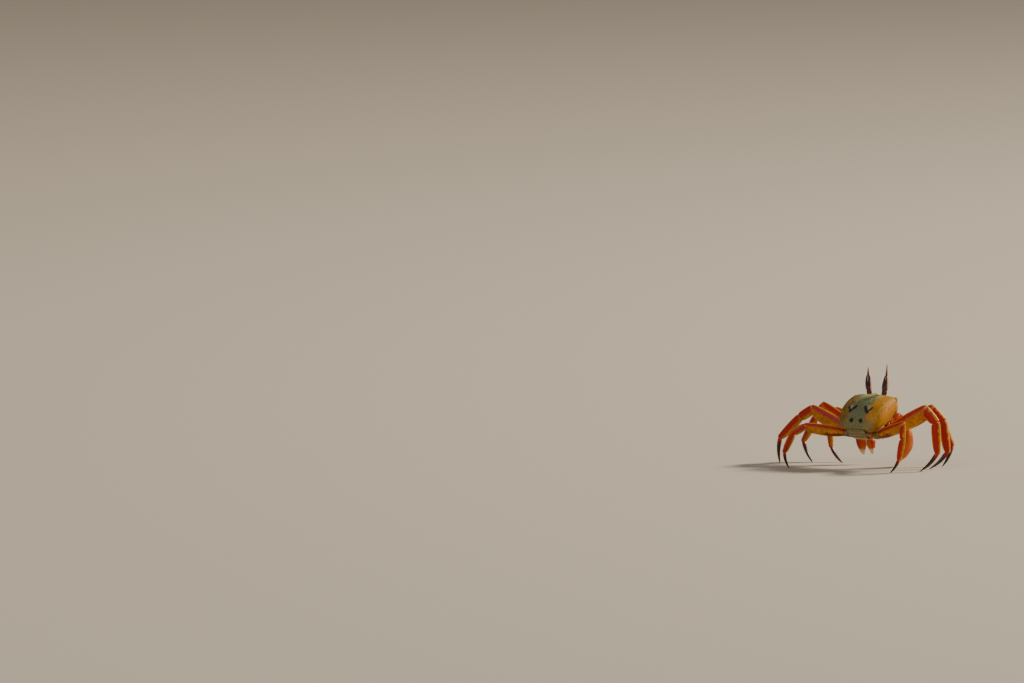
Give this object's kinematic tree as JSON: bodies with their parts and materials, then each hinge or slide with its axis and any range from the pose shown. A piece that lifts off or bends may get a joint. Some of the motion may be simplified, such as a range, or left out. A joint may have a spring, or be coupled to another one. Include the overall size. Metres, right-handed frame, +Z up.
{
  "type": "ghost crab model",
  "caption": "Life-size still model of a horned ghost crab, standing raised on its walking legs with its claws hanging down and its eyes upright.",
  "frame": {"origin": "on the floor, under the middle of the crab's box", "axes": "+Z up, the crab faces -Y, its left side is +X"},
  "size_m": [0.172, 0.1154, 0.0989],
  "materials": {
    "shell": "satin crab shell, finely granular, olive green to mustard yellow with black marks near the rear",
    "underside": "smooth pale shell with fine seams",
    "leg": "satin granular shell, dark red above and yellow orange on the faces and edges",
    "toe": "dark ribbed shell with horny tips",
    "claw": "granular orange shell, cream finger tips",
    "eyestalk": "smooth satin shell",
    "cornea": "wet gloss, nearly black",
    "horn": "tapering satin horn"
  },
  "bodies": {
    "root": {"abdomen": "underside", "antenna_left": "leg", "antenna_right": "leg", "carapace": "shell", "claw_left_arm": "claw", "claw_left_finger": "claw", "claw_left_palm": "claw", "claw_left_wrist": "claw", "claw_right_arm": "claw", "claw_right_finger": "claw", "claw_right_palm": "claw", "claw_right_wrist": "claw", "cornea_left": "cornea", "cornea_right": "cornea", "eyestalk_left": "eyestalk", "eyestalk_right": "eyestalk", "horn_left": "horn", "horn_right": "horn", "leg_1_left_carpus": "leg", "leg_1_left_dactyl": "toe", "leg_1_left_propodus": "leg", "leg_1_left_thigh": "leg", "leg_1_right_carpus": "leg", "leg_1_right_dactyl": "toe", "leg_1_right_propodus": "leg", "leg_1_right_thigh": "leg", "leg_2_left_carpus": "leg", "leg_2_left_dactyl": "toe", "leg_2_left_propodus": "leg", "leg_2_left_thigh": "leg", "leg_2_right_carpus": "leg", "leg_2_right_dactyl": "toe", "leg_2_right_propodus": "leg", "leg_2_right_thigh": "leg", "leg_3_left_carpus": "leg", "leg_3_left_dactyl": "toe", "leg_3_left_propodus": "leg", "leg_3_left_thigh": "leg", "leg_3_right_carpus": "leg", "leg_3_right_dactyl": "toe", "leg_3_right_propodus": "leg", "leg_3_right_thigh": "leg", "leg_4_left_carpus": "leg", "leg_4_left_dactyl": "toe", "leg_4_left_propodus": "leg", "leg_4_left_thigh": "leg", "leg_4_right_carpus": "leg", "leg_4_right_dactyl": "toe", "leg_4_right_propodus": "leg", "leg_4_right_thigh": "leg", "maxilliped_left": "underside", "maxilliped_right": "underside", "sternum": "underside"}
  },
  "joints": []
}
